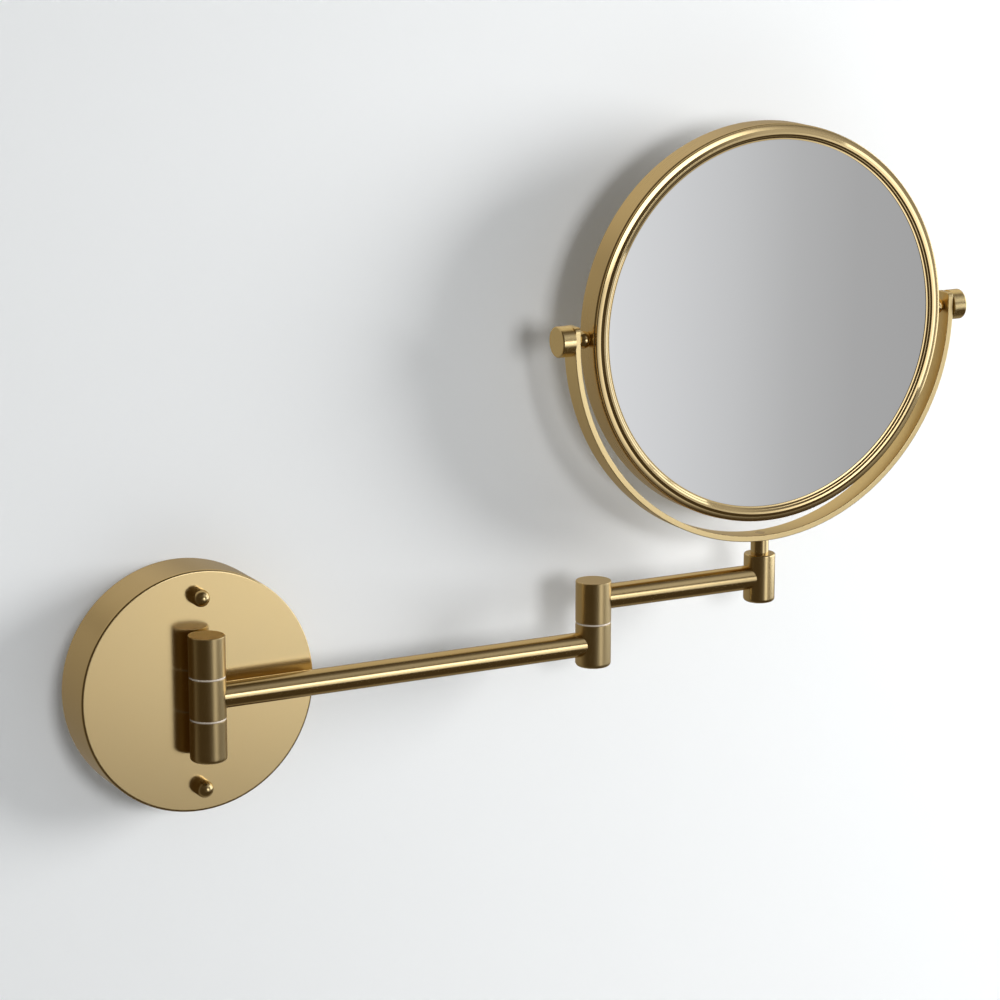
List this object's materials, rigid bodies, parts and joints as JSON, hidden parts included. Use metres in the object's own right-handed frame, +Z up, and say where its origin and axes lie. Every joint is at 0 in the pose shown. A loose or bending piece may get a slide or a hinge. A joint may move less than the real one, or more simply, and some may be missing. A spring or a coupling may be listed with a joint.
{
  "type": "wall-mounted magnifying makeup mirror",
  "caption": "Wall-mounted double-sided round makeup mirror on a folding swing arm, with a yoke that lets it swivel and flip between a plain and a magnifying face.",
  "frame": {"origin": "centre of the wall cover's open back, on the wall plane", "axes": "+X along the wall, towards the unfolded arm; +Y into the wall; +Z up"},
  "size_m": [0.4867, 0.046, 0.3175],
  "materials": {
    "satin_brass": "satin brushed, lacquered",
    "polished_brass": "polished, lacquered",
    "zinc_steel": "zinc plated",
    "white_nylon": "natural nylon",
    "black_acetal": "moulded",
    "black_rubber": "matte",
    "silvered_glass": "silvered"
  },
  "bodies": {
    "wall_mount": {"wall_cover": "satin_brass", "wall_bracket": "zinc_steel", "bracket_studs": "zinc_steel", "cap_nuts": "polished_brass", "backing_plate": "zinc_steel", "hinge_posts": "polished_brass", "post_screws": "zinc_steel", "upper_hinge_knuckle": "polished_brass", "lower_hinge_knuckle": "polished_brass", "hinge_pin": "zinc_steel", "hinge_spring_washer": "zinc_steel", "hinge_washers": "white_nylon"},
    "inner_arm": {"arm_hinge_knuckle": "polished_brass", "hinge_bush": "black_acetal", "inner_arm_tube": "polished_brass", "inner_arm_plugs": "zinc_steel", "lower_elbow_knuckle": "polished_brass", "elbow_bush": "black_acetal"},
    "outer_arm": {"upper_elbow_knuckle": "polished_brass", "elbow_washer": "white_nylon", "elbow_screw": "zinc_steel", "elbow_spring_washer": "zinc_steel", "outer_arm_tube": "polished_brass", "outer_arm_plugs": "zinc_steel", "wrist_knuckle": "polished_brass", "wrist_bush": "polished_brass"},
    "yoke": {"yoke_stem": "polished_brass", "yoke_band": "satin_brass", "stem_screw": "zinc_steel", "stem_spring_washer": "zinc_steel"},
    "mirror_head": {"frame_hoop": "satin_brass", "front_bezel": "polished_brass", "rear_bezel": "polished_brass", "front_glass": "silvered_glass", "rear_glass": "silvered_glass", "front_pad": "black_rubber", "rear_pad": "black_rubber", "core_ring": "black_acetal", "pivot_inserts": "polished_brass", "pivot_spacers": "polished_brass", "pivot_studs": "zinc_steel", "pivot_knobs": "satin_brass", "pivot_spring_washers": "zinc_steel"}
  },
  "joints": [
    {"name": "wall_hinge", "type": "hinge", "parent": "wall_mount", "child": "inner_arm", "pos_m": [0, -0.0367, 0], "axis": [0, 0, 1], "range_deg": [-180, 0]},
    {"name": "elbow_hinge", "type": "hinge", "parent": "inner_arm", "child": "outer_arm", "pos_m": [0.21, -0.0367, 0], "axis": [0, 0, -1], "continuous": true},
    {"name": "yoke_swivel", "type": "hinge", "parent": "outer_arm", "child": "yoke", "pos_m": [0.3075, -0.0367, 0], "axis": [0, 0, 1], "continuous": true},
    {"name": "mirror_tilt", "type": "hinge", "parent": "yoke", "child": "mirror_head", "pos_m": [0.3075, -0.0367, 0.1558], "axis": [1, 0, 0], "continuous": true}
  ]
}
